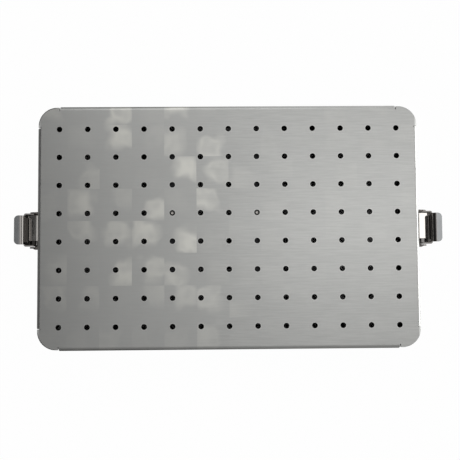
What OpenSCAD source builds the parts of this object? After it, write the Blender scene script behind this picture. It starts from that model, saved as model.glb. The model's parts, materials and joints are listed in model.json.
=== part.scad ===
// Dental instrument cassette: a perforated aluminium tray with a lift-off
// perforated lid, held shut by one snap-over latch on each short end.
// Origin: centre of the footprint, on the surface that the feet stand on.
// X runs along the long side, Y across, Z up. Lengths are in millimetres.

/* [Case] */
// Outer length of the lid, over its bent-down skirts
lid_length = 238; // [215:1:290]
// Outer width of the lid, over its bent-down skirts
lid_width = 152; // [135:1:200]
// Height of the lid's flat top above the table
case_height = 30; // [28:0.5:44]
// Thickness of the aluminium sheet
sheet = 1.2; // [0.8:0.1:1.5]
// Outer radius of every fold between a flat and a wall
fold_radius = 2.8; // [2.2:0.1:3.6]
// Depth of the lid's skirts, from the lid's top
skirt_depth = 10; // [8:0.5:11]
// Gap all round between the skirts and the tray's walls
skirt_gap = 0.4; // [0.3:0.05:0.8]
// Gap between the tray's rim and the inside of the lid's folds, which rest on it
seat_gap = 0.1; // [0.05:0.05:0.3]
// How far the long skirts end before the start of the lid's round corners
long_skirt_setback = 2.6; // [1.5:0.1:4]
// How far the short skirts end before the start of the lid's round corners
short_skirt_setback = 2.5; // [1:0.5:4]
// Radius of the lid's four flat corners, seen from above
lid_corner_radius = 11.5; // [9:0.5:13]
// How far the flat corners stay inside the skirts' outer faces
lid_corner_inset = 1; // [0.5:0.1:1.2]
// Corner radius of the tray, over its walls
tray_corner_radius = 11; // [9:0.5:12.5]
// Radius of the relief notch cut at each end of a skirt
relief_radius = 0.2; // [0.2:0.05:0.6]

/* [Perforation] */
// Diameter of the steam holes
hole_d = 3.2; // [2.4:0.1:3.6]
// Spacing of the steam holes along X and along Y
hole_pitch = 17.5; // [16.5:0.5:19]
// Least distance from a hole's centre to the outside of the case
hole_margin = 13; // [12:0.5:14]
// Height of the row of steam holes in the tray's walls
wall_hole_height = 11; // [9:0.5:12]

/* [Feet] */
// Height of the silicone feet below the tray
foot_height = 2; // [1.6:0.1:3]
// Diameter of the feet
foot_d = 9; // [7:0.5:10]
// Height of the button that locks a foot above the tray's floor
foot_button_height = 0.9; // [0.6:0.1:1.2]
// How far the button reaches past its hole, on the radius
foot_button_lap = 0.8; // [0.5:0.1:1.2]

/* [Instrument rails] */
// Columns of holes between a rail and the end of the tray
rail_column = 2; // [1:1:3]
// Gap between each end of a rail and the tray's wall
rail_end_gap = 4.2; // [2.6:0.1:12]
// Width of the sheet channel that holds the silicone
rail_w = 10; // [9:0.5:12]
// Sheet thickness of the rails and of the hold-down
channel_sheet = 1; // [0.8:0.1:1.2]
// Height of the channel's sides
rail_channel_h = 5; // [4:0.5:6]
// Height of the silicone comb above the tray's floor
rail_h = 14; // [13:0.5:15]
// Width of a notch for one instrument
notch_w = 8; // [6:0.5:9]
// Depth of a notch
notch_depth = 8; // [6:0.5:8.5]
// Side gap between the silicone and its channel
silicone_gap = 0.1; // [0.05:0.05:0.2]

/* [Hold-down] */
// Hole column, counted from the left, of the left hold-down rivet
hold_column_left = 4; // [3:1:4]
// Hole column, counted from the left, of the right hold-down rivet
hold_column_right = 7; // [7:1:8]
// Hole row, counted from the front, of both hold-down rivets
hold_row = 4; // [3:1:4]
// Least gap between the end of a hold-down arm and the tray's wall
hold_end_gap = 16.5; // [8:0.5:24]
// Width of a hold-down arm
hold_arm_w = 10; // [9:0.5:12]
// Height of a hold-down arm's sides
hold_arm_h = 5; // [4:0.5:6]
// Width of the bridge between the two arms
hold_bridge_w = 16; // [12:0.5:20]
// How much wider the hold-down's holes are than the lid's, on the radius
hold_hole_margin = 0.4; // [0:0.1:0.6]
// How far the strips under the arms reach below the tops of the rails
strip_bite = 0.4; // [0:0.1:1]
// Width of the strip's rounded nose
strip_nose_w = 4; // [3:0.5:5]
// Width of the slits that part the strip into fingers
slit_w = 1.6; // [1.2:0.1:2]
// Spacing of the slits
slit_pitch = 8; // [6:0.5:10]
// Silicone left between the slits and the arm
slit_root = 1; // [0.5:0.1:1.5]

/* [Latches] */
// Sheet thickness of the stainless latch parts
latch_sheet = 0.9; // [0.7:0.1:1]
// Width of the lever over its cheeks
lever_w = 20.8; // [19:0.2:24]
// Width of the finger tab
tab_w = 18; // [16:0.2:18]
// How far the finger tab stands out from the lid's skirt
tab_reach = 13.7; // [13.2:0.1:16]
// Gap between the lid's skirt and the outside of the lever
lever_stand_off = 9; // [8.6:0.1:9.6]
// Gap between the lid's skirt and the nearest edge of the lever's cheeks
cheek_gap = 2.2; // [1.6:0.1:2.4]
// Height from the lever's pivot up to the lid's top
pivot_drop = 14.6; // [14.5:0.1:15.2]
// How far the lever's web reaches below the pivot
lever_drop = 3.6; // [3.4:0.1:4.4]
// Radius of the cheeks round the pivot
cheek_radius = 3.4; // [3:0.1:3.4]
// Round corner between the lever's web and its cheeks
lever_corner = 1.2; // [1:0.1:1.3]
// Inside radius of the bend between the web and the finger tab
tab_bend_radius = 1.9; // [1.4:0.1:2.2]
// Radius of the finger tab's two corners
tab_corner = 2.6; // [1:0.2:4]
// Distance from the lid's skirt out to the lever's pivot
pivot_reach = 5.8; // [5.6:0.1:6]
// Diameter of the pivot pin
pin_d = 2.5; // [2.2:0.1:2.6]
// Running gap on the pin's radius inside the lever
pin_gap = 0.05; // [0.02:0.01:0.08]
// Side gap between the lever and the bracket's ears
ear_gap = 0.3; // [0.2:0.05:0.4]
// Radius of the bracket's ears round the pin
ear_radius = 4.2; // [3.8:0.1:4.2]
// How far the bracket's plate reaches below the pivot
bracket_drop = 9.8; // [9:0.1:10.4]
// How far the bracket's rivets sit below the pivot
bracket_rivet_drop = 6.4; // [6:0.1:6.8]
// How far the pin's head and tail reach past the pin, on the radius
pin_head_lap = 0.95; // [0.6:0.05:1.2]
// Height of the pin's head
pin_head_h = 0.8; // [0.5:0.1:1.2]
// How far the lever and its bracket sit forward of the middle of the short end
lever_shift = 1.1; // [0:0.1:1.4]
// Width of the catch tongue
tongue_w = 15.2; // [13:0.2:16]
// Gap between the keeper and the nearer of the lever's cheeks
keeper_side_gap = 0.4; // [0.3:0.1:0.8]
// Sheet thickness of the keeper
keeper_sheet = 1; // [0.8:0.1:1]
// Outer radius of the keeper's fold and of its nose
keeper_fold = 1.6; // [1.4:0.1:1.8]
// Radius of the keeper's two corners, seen from above
keeper_corner = 1.5; // [1:0.1:2]
// Height from the keeper's ledge up to the lid's top
ledge_drop = 4; // [3.6:0.1:4.4]
// Height of the keeper's lower edge above the skirt's
keeper_rise = 0.6; // [0.4:0.1:0.8]
// How far the catch tongue laps over the keeper's ledge
catch_lap = 2.2; // [1.8:0.1:2.6]
// Gap between the tongue's tip and the ledge
catch_gap = 0.4; // [0.3:0.05:0.5]
// How much higher the tongue's tip is than its root
tongue_rise = 0.8; // [0:0.1:0.8]
// Gap between the keeper's nose and the lever's web
nose_gap = 0.5; // [0.4:0.05:0.7]

/* [Rivets] */
// Shank diameter of the bracket rivets
rivet_d = 2.4; // [2:0.1:2.6]
// Head diameter of the rail, bracket and hold-down rivets
rivet_head_d = 4.4; // [4:0.1:4.8]
// Head height of all the rivets
rivet_head_h = 1; // [0.8:0.1:1.2]
// Shank diameter of the keeper rivets
keeper_rivet_d = 2; // [1.6:0.1:2.2]
// Head diameter of the keeper rivets
keeper_rivet_head_d = 3.6; // [3:0.1:3.8]
// Shank diameter of the two hold-down rivets
lid_rivet_d = 1.6; // [1.4:0.1:1.8]
// How far a hold-down rivet's visible end reaches past its shank, on the radius
lid_rivet_lap = 0.2; // [0.1:0.05:0.3]
// Diameter of the dimple in a hold-down rivet's visible end
lid_rivet_dimple_d = 0.7; // [0.5:0.1:1]
// Depth of that end below the lid's top
lid_rivet_sink = 0.2; // [0.1:0.05:0.3]
// Sheet left under the spot face that the end sits in
spot_floor = 0.4; // [0.3:0.05:0.6]
// Gap on the radius round every shank
rivet_gap = 0.03; // [0.02:0.01:0.06]
// Spacing of the two rivets of a bracket or keeper
latch_rivet_pitch = 9; // [8:0.5:9.5]

/* [Hidden] */
$fn = 64;

// Extra length that carries a cut clear through a face
through = 1;

half_x = lid_length / 2;
half_y = lid_width / 2;
lid_under = case_height - sheet;
skirt_low = case_height - skirt_depth;

tray_x = half_x - sheet - skirt_gap;
tray_y = half_y - sheet - skirt_gap;
tray_low = foot_height;
floor_top = tray_low + sheet;
// The rim's outer edge stays seat_gap inside the hollow of the lid's folds
fold_hollow = fold_radius - sheet;
rim_offset = max(0, fold_hollow - skirt_gap);
rim = case_height - fold_radius + sqrt(pow(fold_hollow - seat_gap, 2) - pow(rim_offset, 2));

function skirt_half_x() = half_x - lid_corner_radius - long_skirt_setback;
function skirt_half_y() = half_y - lid_corner_radius - short_skirt_setback;

columns = floor((lid_length - 2 * hole_margin) / hole_pitch) + 1;
rows = floor((lid_width - 2 * hole_margin) / hole_pitch) + 1;
function column_x(i) = (i - (columns - 1) / 2) * hole_pitch;
function row_y(j) = (j - (rows - 1) / 2) * hole_pitch;

foot_button_d = hole_d + 2 * foot_button_lap;

rail_x = column_x(columns - 1 - rail_column);
rail_length = 2 * (tray_y - sheet - rail_end_gap);
rail_comb_w = rail_w - 2 * channel_sheet - 2 * silicone_gap;
rail_floor = floor_top + channel_sheet;
rail_top = floor_top + rail_h;
// One notch for each hole row that lies well inside the rail
notch_rows = [for (j = [0:rows - 1]) if (abs(row_y(j)) < rail_length / 2 - notch_w) j];
rail_rivet_rows = [1, rows - 2];

hold_left_x = column_x(hold_column_left);
hold_right_x = column_x(hold_column_right);
hold_y = row_y(hold_row);
hold_arm_length = 2 * (tray_y - sheet - abs(hold_y) - hold_end_gap);
hold_low = lid_under - channel_sheet;
hold_hole_d = hole_d + 2 * hold_hole_margin;
// The rows whose holes go on through a hold-down arm
hold_rows = [for (j = [0:rows - 1])
  if (j != hold_row && abs(row_y(j) - hold_y) < hold_arm_length / 2 - hole_d) j];
strip_w = hold_arm_w - 2 * channel_sheet - 2 * silicone_gap;
strip_top_h = hold_arm_h - channel_sheet;
strip_h = hold_low - rail_top + strip_bite;
lid_rivet_bore_d = lid_rivet_d + 2 * rivet_gap;
lid_rivet_end_d = lid_rivet_d + 2 * lid_rivet_lap;
spot_z = lid_under + spot_floor;

lever_out = half_x + lever_stand_off;
lever_in = half_x + cheek_gap;
tab_out = half_x + tab_reach;
pivot_x = half_x + pivot_reach;
pivot_height = case_height - pivot_drop;
lever_low = pivot_height - lever_drop;
bend_top = tab_bend_radius + latch_sheet;
bend_z = case_height - bend_top;
// The cheeks' inner edge: a waist above the pivot, then a chamfer under the tab
cheek_waist = 5.4;
cheek_lean = 0.4;
cheek_shoulder = 3.2;
cheek_chamfer_x = 1.2;
cheek_chamfer_z = 1.8;

ear_in = lever_w / 2 + ear_gap;
ear_out = ear_in + channel_sheet;
ear_neck = 0.4;
bracket_x = tray_x + channel_sheet;
bracket_low = pivot_height - bracket_drop;
bracket_rivet_z = pivot_height - bracket_rivet_drop;
pin_head_d = pin_d + 2 * pin_head_lap;
// The pin's riveted tail reaches half as far as its head and is half as high
pin_tail_d = pin_d + pin_head_lap;
pin_tail_h = pin_head_h / 2;

keeper_w = lever_w - 2 * (latch_sheet + keeper_side_gap + lever_shift);
ledge_height = case_height - ledge_drop;
tongue_low = ledge_height + catch_gap - tongue_rise;
nose_out = lever_out - latch_sheet - nose_gap;
tongue_in = nose_out - catch_lap;
tongue_length = lever_out - tongue_in;
keeper_low = skirt_low + keeper_rise;
keeper_rivet_z = (keeper_low + ledge_height - keeper_fold) / 2;

// A quarter of a round ring, filling the lower right of its centre
module quarter_ring(outer, wall) {
  intersection() {
    difference() {
      circle(outer);
      circle(outer - wall);
    }
    translate([0, -outer]) square(outer);
  }
}

// A rectangle with round corners, centred on the origin
module round_rectangle(length, width, radius) {
  square([length - 2 * radius, width], center = true);
  square([length, width - 2 * radius], center = true);
  for (x = [-1, 1], y = [-1, 1])
    translate([x * (length / 2 - radius), y * (width / 2 - radius)]) circle(radius);
}

// Plan of a strip from x = back to x = out, with round corners at its outer end
module round_end(back, out, width, radius) {
  translate([back, -width / 2]) square([out - radius - back, width]);
  translate([back, radius - width / 2]) square([out - back, width - 2 * radius]);
  for (y = [-1, 1]) translate([out - radius, y * (width / 2 - radius)]) circle(radius);
}

// Section of the tray's wall, fold and strip of floor; its outer face is at x = run
module tray_section(run) {
  translate([run - sheet, fold_radius]) square([sheet, rim - tray_low - fold_radius]);
  translate([run - fold_radius, fold_radius]) quarter_ring(fold_radius, sheet);
  square([run - fold_radius, sheet]);
}

module tray_shell() {
  corner_x = tray_x - tray_corner_radius;
  corner_y = tray_y - tray_corner_radius;
  translate([-corner_x, -corner_y, 0]) cube([2 * corner_x, 2 * corner_y, sheet]);
  for (turn = [0, 180]) rotate([0, 0, turn]) {
    translate([corner_x, corner_y, 0]) rotate([90, 0, 0])
      linear_extrude(2 * corner_y) tray_section(tray_corner_radius);
    translate([-corner_x, corner_y, 0]) rotate([90, 0, 90])
      linear_extrude(2 * corner_x) tray_section(tray_corner_radius);
    translate([corner_x, corner_y, 0])
      rotate_extrude(angle = 90) tray_section(tray_corner_radius);
    translate([-corner_x, corner_y, 0]) rotate([0, 0, 90])
      rotate_extrude(angle = 90) tray_section(tray_corner_radius);
  }
}

// Steam holes through the walls, clear of the corners and of the brackets
module wall_holes() {
  for (i = [0:columns - 1])
    if (abs(column_x(i)) < tray_x - tray_corner_radius - hole_d)
      translate([column_x(i), 0, wall_hole_height]) rotate([90, 0, 0])
        cylinder(h = 2 * half_y, d = hole_d, center = true);
  for (j = [0:rows - 1])
    if (abs(row_y(j)) < tray_y - tray_corner_radius - hole_d / 2
        && abs(row_y(j) + lever_shift) > ear_out + hole_d)
      translate([0, row_y(j), wall_hole_height]) rotate([0, 90, 0])
        cylinder(h = 2 * half_x, d = hole_d, center = true);
}

module tray_pan() {
  color("silver") difference() {
    translate([0, 0, tray_low]) tray_shell();
    for (i = [0:columns - 1], j = [0:rows - 1])
      translate([column_x(i), row_y(j), tray_low - through])
        cylinder(h = sheet + 2 * through, d = hole_d);
    wall_holes();
    for (side = [-1, 1], y = [-1, 1])
      translate([side * tray_x, y * latch_rivet_pitch / 2 - lever_shift, bracket_rivet_z])
        rotate([0, 90, 0]) cylinder(h = 4 * sheet, d = rivet_d + 2 * rivet_gap, center = true);
  }
}

// Flat blank of the lid's top: round corners, skirts' strips left out, relief notches
module lid_blank() {
  flat_x = half_x - fold_radius;
  flat_y = half_y - fold_radius;
  difference() {
    round_rectangle(lid_length - 2 * lid_corner_inset, lid_width - 2 * lid_corner_inset,
      lid_corner_radius);
    for (side = [-1, 1]) {
      translate([side * (flat_x + fold_radius), 0])
        square([2 * fold_radius, 2 * skirt_half_y()], center = true);
      translate([0, side * (flat_y + fold_radius)])
        square([2 * skirt_half_x(), 2 * fold_radius], center = true);
    }
    for (x = [-1, 1], y = [-1, 1]) {
      translate([x * flat_x, y * (skirt_half_y() + relief_radius)]) relief(x, 0);
      translate([x * (skirt_half_x() + relief_radius), y * flat_y]) relief(0, y);
    }
    for (i = [0:columns - 1], j = [0:rows - 1])
      if (!holds_rivet(i, j)) translate([column_x(i), row_y(j)]) circle(d = hole_d);
  }
}

// A round-ended notch that opens outwards along the given side
module relief(x, y) {
  circle(relief_radius);
  translate([x * fold_radius, y * fold_radius])
    square([2 * max(abs(x) * fold_radius, relief_radius),
      2 * max(abs(y) * fold_radius, relief_radius)], center = true);
}

function holds_rivet(i, j) = j == hold_row && (i == hold_column_left || i == hold_column_right);

// Section of a skirt and its fold; its outer face is at x = 0 and its top at y = 0
module skirt_section() {
  translate([-sheet, -skirt_depth]) square([sheet, skirt_depth - fold_radius]);
  translate([-fold_radius, -fold_radius]) mirror([0, 1]) quarter_ring(fold_radius, sheet);
}

module lid_pan() {
  color("gainsboro") difference() {
    union() {
      translate([0, 0, lid_under]) linear_extrude(sheet) lid_blank();
      for (turn = [0, 180]) rotate([0, 0, turn]) {
        translate([half_x, skirt_half_y(), case_height]) rotate([90, 0, 0])
          linear_extrude(2 * skirt_half_y()) skirt_section();
        translate([-skirt_half_x(), half_y, case_height]) rotate([90, 0, 90])
          linear_extrude(2 * skirt_half_x()) skirt_section();
      }
    }
    for (x = [hold_left_x, hold_right_x]) translate([x, hold_y, 0]) {
      translate([0, 0, lid_under - through]) cylinder(h = sheet + 2 * through, d = lid_rivet_bore_d);
      translate([0, 0, spot_z]) cylinder(h = sheet, d = hole_d);
    }
    for (side = [-1, 1], y = [-1, 1])
      translate([side * half_x, y * latch_rivet_pitch / 2, keeper_rivet_z]) rotate([0, 90, 0])
        cylinder(h = 4 * sheet, d = keeper_rivet_d + 2 * rivet_gap, center = true);
  }
}

// A foot: a round pad under the floor, a neck through a steam hole, a button above
module foot(side_x, side_y) {
  x = side_x * column_x(columns - 1);
  y = side_y * row_y(rows - 1);
  color("dimgray") translate([x, y, 0]) {
    cylinder(h = foot_height, d = foot_d);
    translate([0, 0, foot_height]) cylinder(h = sheet, d = hole_d - 2 * rivet_gap);
    translate([0, 0, floor_top]) cylinder(h = foot_button_height, d = foot_button_d);
  }
}

module foot_front_left() { foot(-1, -1); }
module foot_front_right() { foot(1, -1); }
module foot_rear_left() { foot(-1, 1); }
module foot_rear_right() { foot(1, 1); }

module rail_channel(side) {
  color("lightsteelblue") translate([side * rail_x, 0, floor_top]) difference() {
    translate([-rail_w / 2, -rail_length / 2, 0]) cube([rail_w, rail_length, rail_channel_h]);
    translate([-rail_w / 2 + channel_sheet, -rail_length / 2 - through, channel_sheet])
      cube([rail_w - 2 * channel_sheet, rail_length + 2 * through, rail_channel_h]);
    for (j = [0:rows - 1]) if (abs(row_y(j)) < rail_length / 2 - hole_d)
      translate([0, row_y(j), -through]) cylinder(h = channel_sheet + 2 * through, d = hole_d);
  }
}

module rail_channel_left() { rail_channel(-1); }
module rail_channel_right() { rail_channel(1); }

// The silicone comb: instruments lie in its round-bottomed notches
module rail_comb(side) {
  comb_h = rail_top - rail_floor;
  notch_z = comb_h - notch_depth + notch_w / 2;
  color("darkslategray") translate([side * rail_x, 0, rail_floor]) difference() {
    translate([-rail_comb_w / 2, 0, 0]) rotate([90, 0, 90]) linear_extrude(rail_comb_w) difference() {
      translate([-rail_length / 2, 0]) square([rail_length, comb_h]);
      for (j = notch_rows) translate([row_y(j), notch_z]) {
        circle(d = notch_w);
        translate([-notch_w / 2, 0]) square([notch_w, comb_h]);
      }
    }
    for (j = rail_rivet_rows) translate([0, row_y(j), -through])
      cylinder(h = through + rivet_head_h + silicone_gap, d = rivet_head_d + 2 * silicone_gap);
  }
}

module rail_comb_left() { rail_comb(-1); }
module rail_comb_right() { rail_comb(1); }

// Rivets with a head at z = 0 upwards, a shank through the grip and a head below it
module rivet(grip, shank_d) {
  cylinder(h = rivet_head_h, d = rivet_head_d);
  translate([0, 0, -grip]) cylinder(h = grip, d = shank_d);
  translate([0, 0, -grip - rivet_head_h]) cylinder(h = rivet_head_h, d = rivet_head_d);
}

module rail_rivets() {
  color("dimgray") for (side = [-1, 1], j = rail_rivet_rows)
    translate([side * rail_x, row_y(j), rail_floor])
      rivet(sheet + channel_sheet, hole_d - 2 * rivet_gap);
}

// One sheet piece: two channel arms across the tray and a flat bridge between them,
// with wider holes under the lid's
module hold_down_frame() {
  arm_low = lid_under - hold_arm_h;
  arm_start = hold_y - hold_arm_length / 2;
  color("lightsteelblue") difference() {
    union() {
      for (x = [hold_left_x, hold_right_x]) difference() {
        translate([x - hold_arm_w / 2, arm_start, arm_low])
          cube([hold_arm_w, hold_arm_length, hold_arm_h]);
        translate([x - hold_arm_w / 2 + channel_sheet, arm_start - through, arm_low - through])
          cube([hold_arm_w - 2 * channel_sheet, hold_arm_length + 2 * through,
            hold_arm_h - channel_sheet + through]);
      }
      translate([hold_left_x + hold_arm_w / 2, hold_y - hold_bridge_w / 2, hold_low])
        cube([hold_right_x - hold_left_x - hold_arm_w, hold_bridge_w, channel_sheet]);
    }
    for (i = [hold_column_left:hold_column_right])
      translate([column_x(i), hold_y, hold_low - through])
        cylinder(h = channel_sheet + 2 * through,
          d = holds_rivet(i, hold_row) ? lid_rivet_bore_d : hold_hole_d);
    for (x = [hold_left_x, hold_right_x], j = hold_rows)
      translate([x, row_y(j), hold_low - through])
        cylinder(h = channel_sheet + 2 * through, d = hold_hole_d);
  }
}

// A silicone strip: square where the arm grips it, tapered to a round nose, slit into fingers
module hold_down_strip(x) {
  slits = floor((hold_arm_length - slit_pitch) / slit_pitch / 2);
  nose_r = strip_nose_w / 2;
  color("darkslategray") translate([x, hold_y, hold_low]) difference() {
    translate([0, hold_arm_length / 2, 0]) rotate([90, 0, 0]) linear_extrude(hold_arm_length) polygon([
      [-strip_w / 2, 0], [strip_w / 2, 0], [strip_w / 2, -strip_top_h],
      for (a = [0:20:180]) [nose_r * cos(a), -strip_h + nose_r - nose_r * sin(a)],
      [-strip_w / 2, -strip_top_h]
    ]);
    for (k = [-slits:slits])
      translate([-strip_w, k * slit_pitch - slit_w / 2, -strip_h - through])
        cube([2 * strip_w, slit_w, strip_h - strip_top_h - slit_root + through]);
    translate([0, 0, -rivet_head_h - silicone_gap])
      cylinder(h = rivet_head_h + silicone_gap + through, d = rivet_head_d + 2 * silicone_gap);
  }
}

module hold_down_strip_left() { hold_down_strip(hold_left_x); }
module hold_down_strip_right() { hold_down_strip(hold_right_x); }

// The rivets seen in two of the lid's holes: a head under the arm, a shank,
// and an end sunk in the spot face
module hold_down_rivets() {
  end_h = case_height - lid_rivet_sink - spot_z;
  color("gray") for (x = [hold_left_x, hold_right_x]) translate([x, hold_y, 0]) difference() {
    union() {
      translate([0, 0, hold_low - rivet_head_h]) cylinder(h = rivet_head_h, d = rivet_head_d);
      translate([0, 0, hold_low]) cylinder(h = spot_z - hold_low, d = lid_rivet_d);
      translate([0, 0, spot_z]) cylinder(h = end_h, d = lid_rivet_end_d);
    }
    translate([0, 0, spot_z]) cylinder(h = sheet, d = lid_rivet_dimple_d);
  }
}

// The bracket: a plate on the tray's end wall with two ears for the pivot pin
module latch_bracket(side) {
  color("silver") translate([0, -lever_shift, 0]) mirror([side < 0 ? 1 : 0, 0, 0]) difference() {
    union() {
      translate([tray_x, -ear_out, bracket_low])
        cube([channel_sheet, 2 * ear_out, skirt_low - skirt_gap - bracket_low]);
      for (y = [-ear_out, ear_in]) translate([0, y, 0]) {
        translate([pivot_x, 0, pivot_height]) rotate([-90, 0, 0])
          cylinder(h = channel_sheet, r = ear_radius);
        translate([tray_x, 0, pivot_height - ear_radius])
          cube([pivot_x - tray_x, channel_sheet, 2 * ear_radius - ear_neck]);
      }
    }
    translate([pivot_x, 0, pivot_height]) rotate([90, 0, 0])
      cylinder(h = 2 * ear_out + 2 * through, d = pin_d + 2 * rivet_gap, center = true);
    for (y = [-1, 1]) translate([bracket_x, y * latch_rivet_pitch / 2, bracket_rivet_z]) rotate([0, 90, 0])
      cylinder(h = 4 * channel_sheet, d = rivet_d + 2 * rivet_gap, center = true);
  }
}

module latch_bracket_left() { latch_bracket(-1); }
module latch_bracket_right() { latch_bracket(1); }

module bracket_rivets(side) {
  color("gray") for (y = [-1, 1])
    translate([side * bracket_x, y * latch_rivet_pitch / 2 - lever_shift, bracket_rivet_z])
      rotate([0, side * 90, 0]) rivet(sheet + channel_sheet, rivet_d);
}

module bracket_rivets_left() { bracket_rivets(-1); }
module bracket_rivets_right() { bracket_rivets(1); }

module pivot_pin(side) {
  color("gray") translate([side * pivot_x, -lever_shift, pivot_height]) rotate([-90, 0, 0]) {
    translate([0, 0, -ear_out]) cylinder(h = 2 * ear_out, d = pin_d);
    translate([0, 0, -ear_out - pin_head_h]) cylinder(h = pin_head_h, d = pin_head_d);
    translate([0, 0, ear_out]) cylinder(h = pin_tail_h, d = pin_tail_d);
  }
}

module pivot_pin_left() { pivot_pin(-1); }
module pivot_pin_right() { pivot_pin(1); }

// Side outline of a lever's cheek: round at the pin, full height at the web
module cheek_outline() {
  translate([pivot_x, pivot_height]) circle(cheek_radius);
  polygon([
    [pivot_x - cheek_radius, pivot_height], [lever_in + cheek_lean, pivot_height + cheek_waist],
    [lever_in, bend_z - cheek_shoulder],
    [lever_in + cheek_chamfer_x, bend_z - cheek_shoulder + cheek_chamfer_z], [lever_out, bend_z],
    [lever_out, lever_low], [pivot_x, pivot_height - cheek_radius]
  ]);
}

// Plan of the lever: a web between two cheeks, open towards the tray
module lever_plan() {
  difference() {
    round_end(half_x, lever_out, lever_w, lever_corner);
    round_end(half_x - through, lever_out - latch_sheet, lever_w - 2 * latch_sheet,
      lever_corner - latch_sheet);
  }
}

// Section of the finger tab: a short leg inside the web, a quarter bend, then flat for the given run
module tab_section(run, leg) {
  difference() {
    union() {
      intersection() {
        circle(bend_top);
        translate([-bend_top, 0]) square(bend_top);
      }
      translate([-bend_top, -leg]) square([bend_top, leg]);
      translate([0, -leg]) square([run, bend_top + leg]);
    }
    circle(tab_bend_radius);
    translate([-tab_bend_radius, -leg - through]) square([tab_bend_radius, leg + through]);
    translate([0, -leg - through]) square([run + through, leg + tab_bend_radius + through]);
  }
}

// The lever: cheeks and web, a finger tab bent outwards, a tongue lanced inwards and up
module latch_lever(side) {
  color("silver") translate([0, -lever_shift, 0]) mirror([side < 0 ? 1 : 0, 0, 0]) {
    difference() {
      intersection() {
        translate([0, 0, lever_low]) linear_extrude(bend_z - lever_low) lever_plan();
        translate([0, lever_w, 0]) rotate([90, 0, 0]) linear_extrude(2 * lever_w) cheek_outline();
      }
      translate([pivot_x, 0, pivot_height]) rotate([90, 0, 0])
        cylinder(h = 2 * lever_w, d = pin_d + 2 * pin_gap, center = true);
      translate([lever_out - latch_sheet - through, -tongue_w / 2, tongue_low - tongue_length])
        cube([latch_sheet + 2 * through, tongue_w, tongue_length]);
    }
    intersection() {
      translate([lever_out + tab_bend_radius, lever_w, bend_z]) rotate([90, 0, 0])
        linear_extrude(2 * lever_w) tab_section(tab_out - lever_out - tab_bend_radius, latch_sheet);
      linear_extrude(2 * case_height) round_end(half_x, tab_out, tab_w, tab_corner);
    }
    intersection() {
      translate([0, tongue_w, 0]) rotate([90, 0, 0]) linear_extrude(2 * tongue_w) polygon([
        [lever_out, tongue_low], [tongue_in, tongue_low + tongue_rise],
        [tongue_in, tongue_low + tongue_rise + latch_sheet], [lever_out, tongue_low + latch_sheet]
      ]);
      linear_extrude(2 * case_height)
        mirror([1, 0]) round_end(-lever_out, -tongue_in, tongue_w, lever_corner);
    }
  }
}

module latch_lever_left() { latch_lever(-1); }
module latch_lever_right() { latch_lever(1); }

// The keeper: a plate on the lid's skirt, folded out into a ledge with a turned-down nose
module lid_keeper(side) {
  color("silver") mirror([side < 0 ? 1 : 0, 0, 0]) difference() {
    intersection() {
      translate([0, keeper_w, 0]) rotate([90, 0, 0]) linear_extrude(2 * keeper_w) {
        translate([half_x, keeper_low]) square([keeper_sheet, ledge_height - keeper_fold - keeper_low]);
        translate([half_x + keeper_fold, ledge_height - keeper_fold]) mirror([1, 0]) mirror([0, 1])
          quarter_ring(keeper_fold, keeper_sheet);
        translate([half_x + keeper_fold, ledge_height - keeper_sheet])
          square([nose_out - half_x - 2 * keeper_fold, keeper_sheet]);
        translate([nose_out - keeper_fold, ledge_height - keeper_fold]) mirror([0, 1])
          quarter_ring(keeper_fold, keeper_sheet);
      }
      linear_extrude(2 * case_height) round_end(tray_x, nose_out, keeper_w, keeper_corner);
    }
    for (y = [-1, 1]) translate([half_x, y * latch_rivet_pitch / 2, keeper_rivet_z]) rotate([0, 90, 0])
      cylinder(h = 4 * keeper_sheet, d = keeper_rivet_d + 2 * rivet_gap, center = true);
  }
}

module lid_keeper_left() { lid_keeper(-1); }
module lid_keeper_right() { lid_keeper(1); }

// Keeper rivets end flush with the skirt's inner face, so the lid slides over the tray
module keeper_rivets(side) {
  color("gray") for (y = [-1, 1])
    translate([side * half_x, y * latch_rivet_pitch / 2, keeper_rivet_z]) rotate([0, side * 90, 0]) {
      translate([0, 0, -sheet]) cylinder(h = sheet + keeper_sheet, d = keeper_rivet_d);
      translate([0, 0, keeper_sheet]) cylinder(h = rivet_head_h, d = keeper_rivet_head_d);
    }
}

module keeper_rivets_left() { keeper_rivets(-1); }
module keeper_rivets_right() { keeper_rivets(1); }

tray_pan();
lid_pan();
foot_front_left();
foot_front_right();
foot_rear_left();
foot_rear_right();
rail_channel_left();
rail_channel_right();
rail_comb_left();
rail_comb_right();
rail_rivets();
hold_down_frame();
hold_down_strip_left();
hold_down_strip_right();
hold_down_rivets();
latch_bracket_left();
latch_bracket_right();
bracket_rivets_left();
bracket_rivets_right();
latch_lever_left();
latch_lever_right();
pivot_pin_left();
pivot_pin_right();
lid_keeper_left();
lid_keeper_right();
keeper_rivets_left();
keeper_rivets_right();
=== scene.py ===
import json
import math

import bmesh
import bpy
import numpy as np
from mathutils import Matrix, Vector

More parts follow.
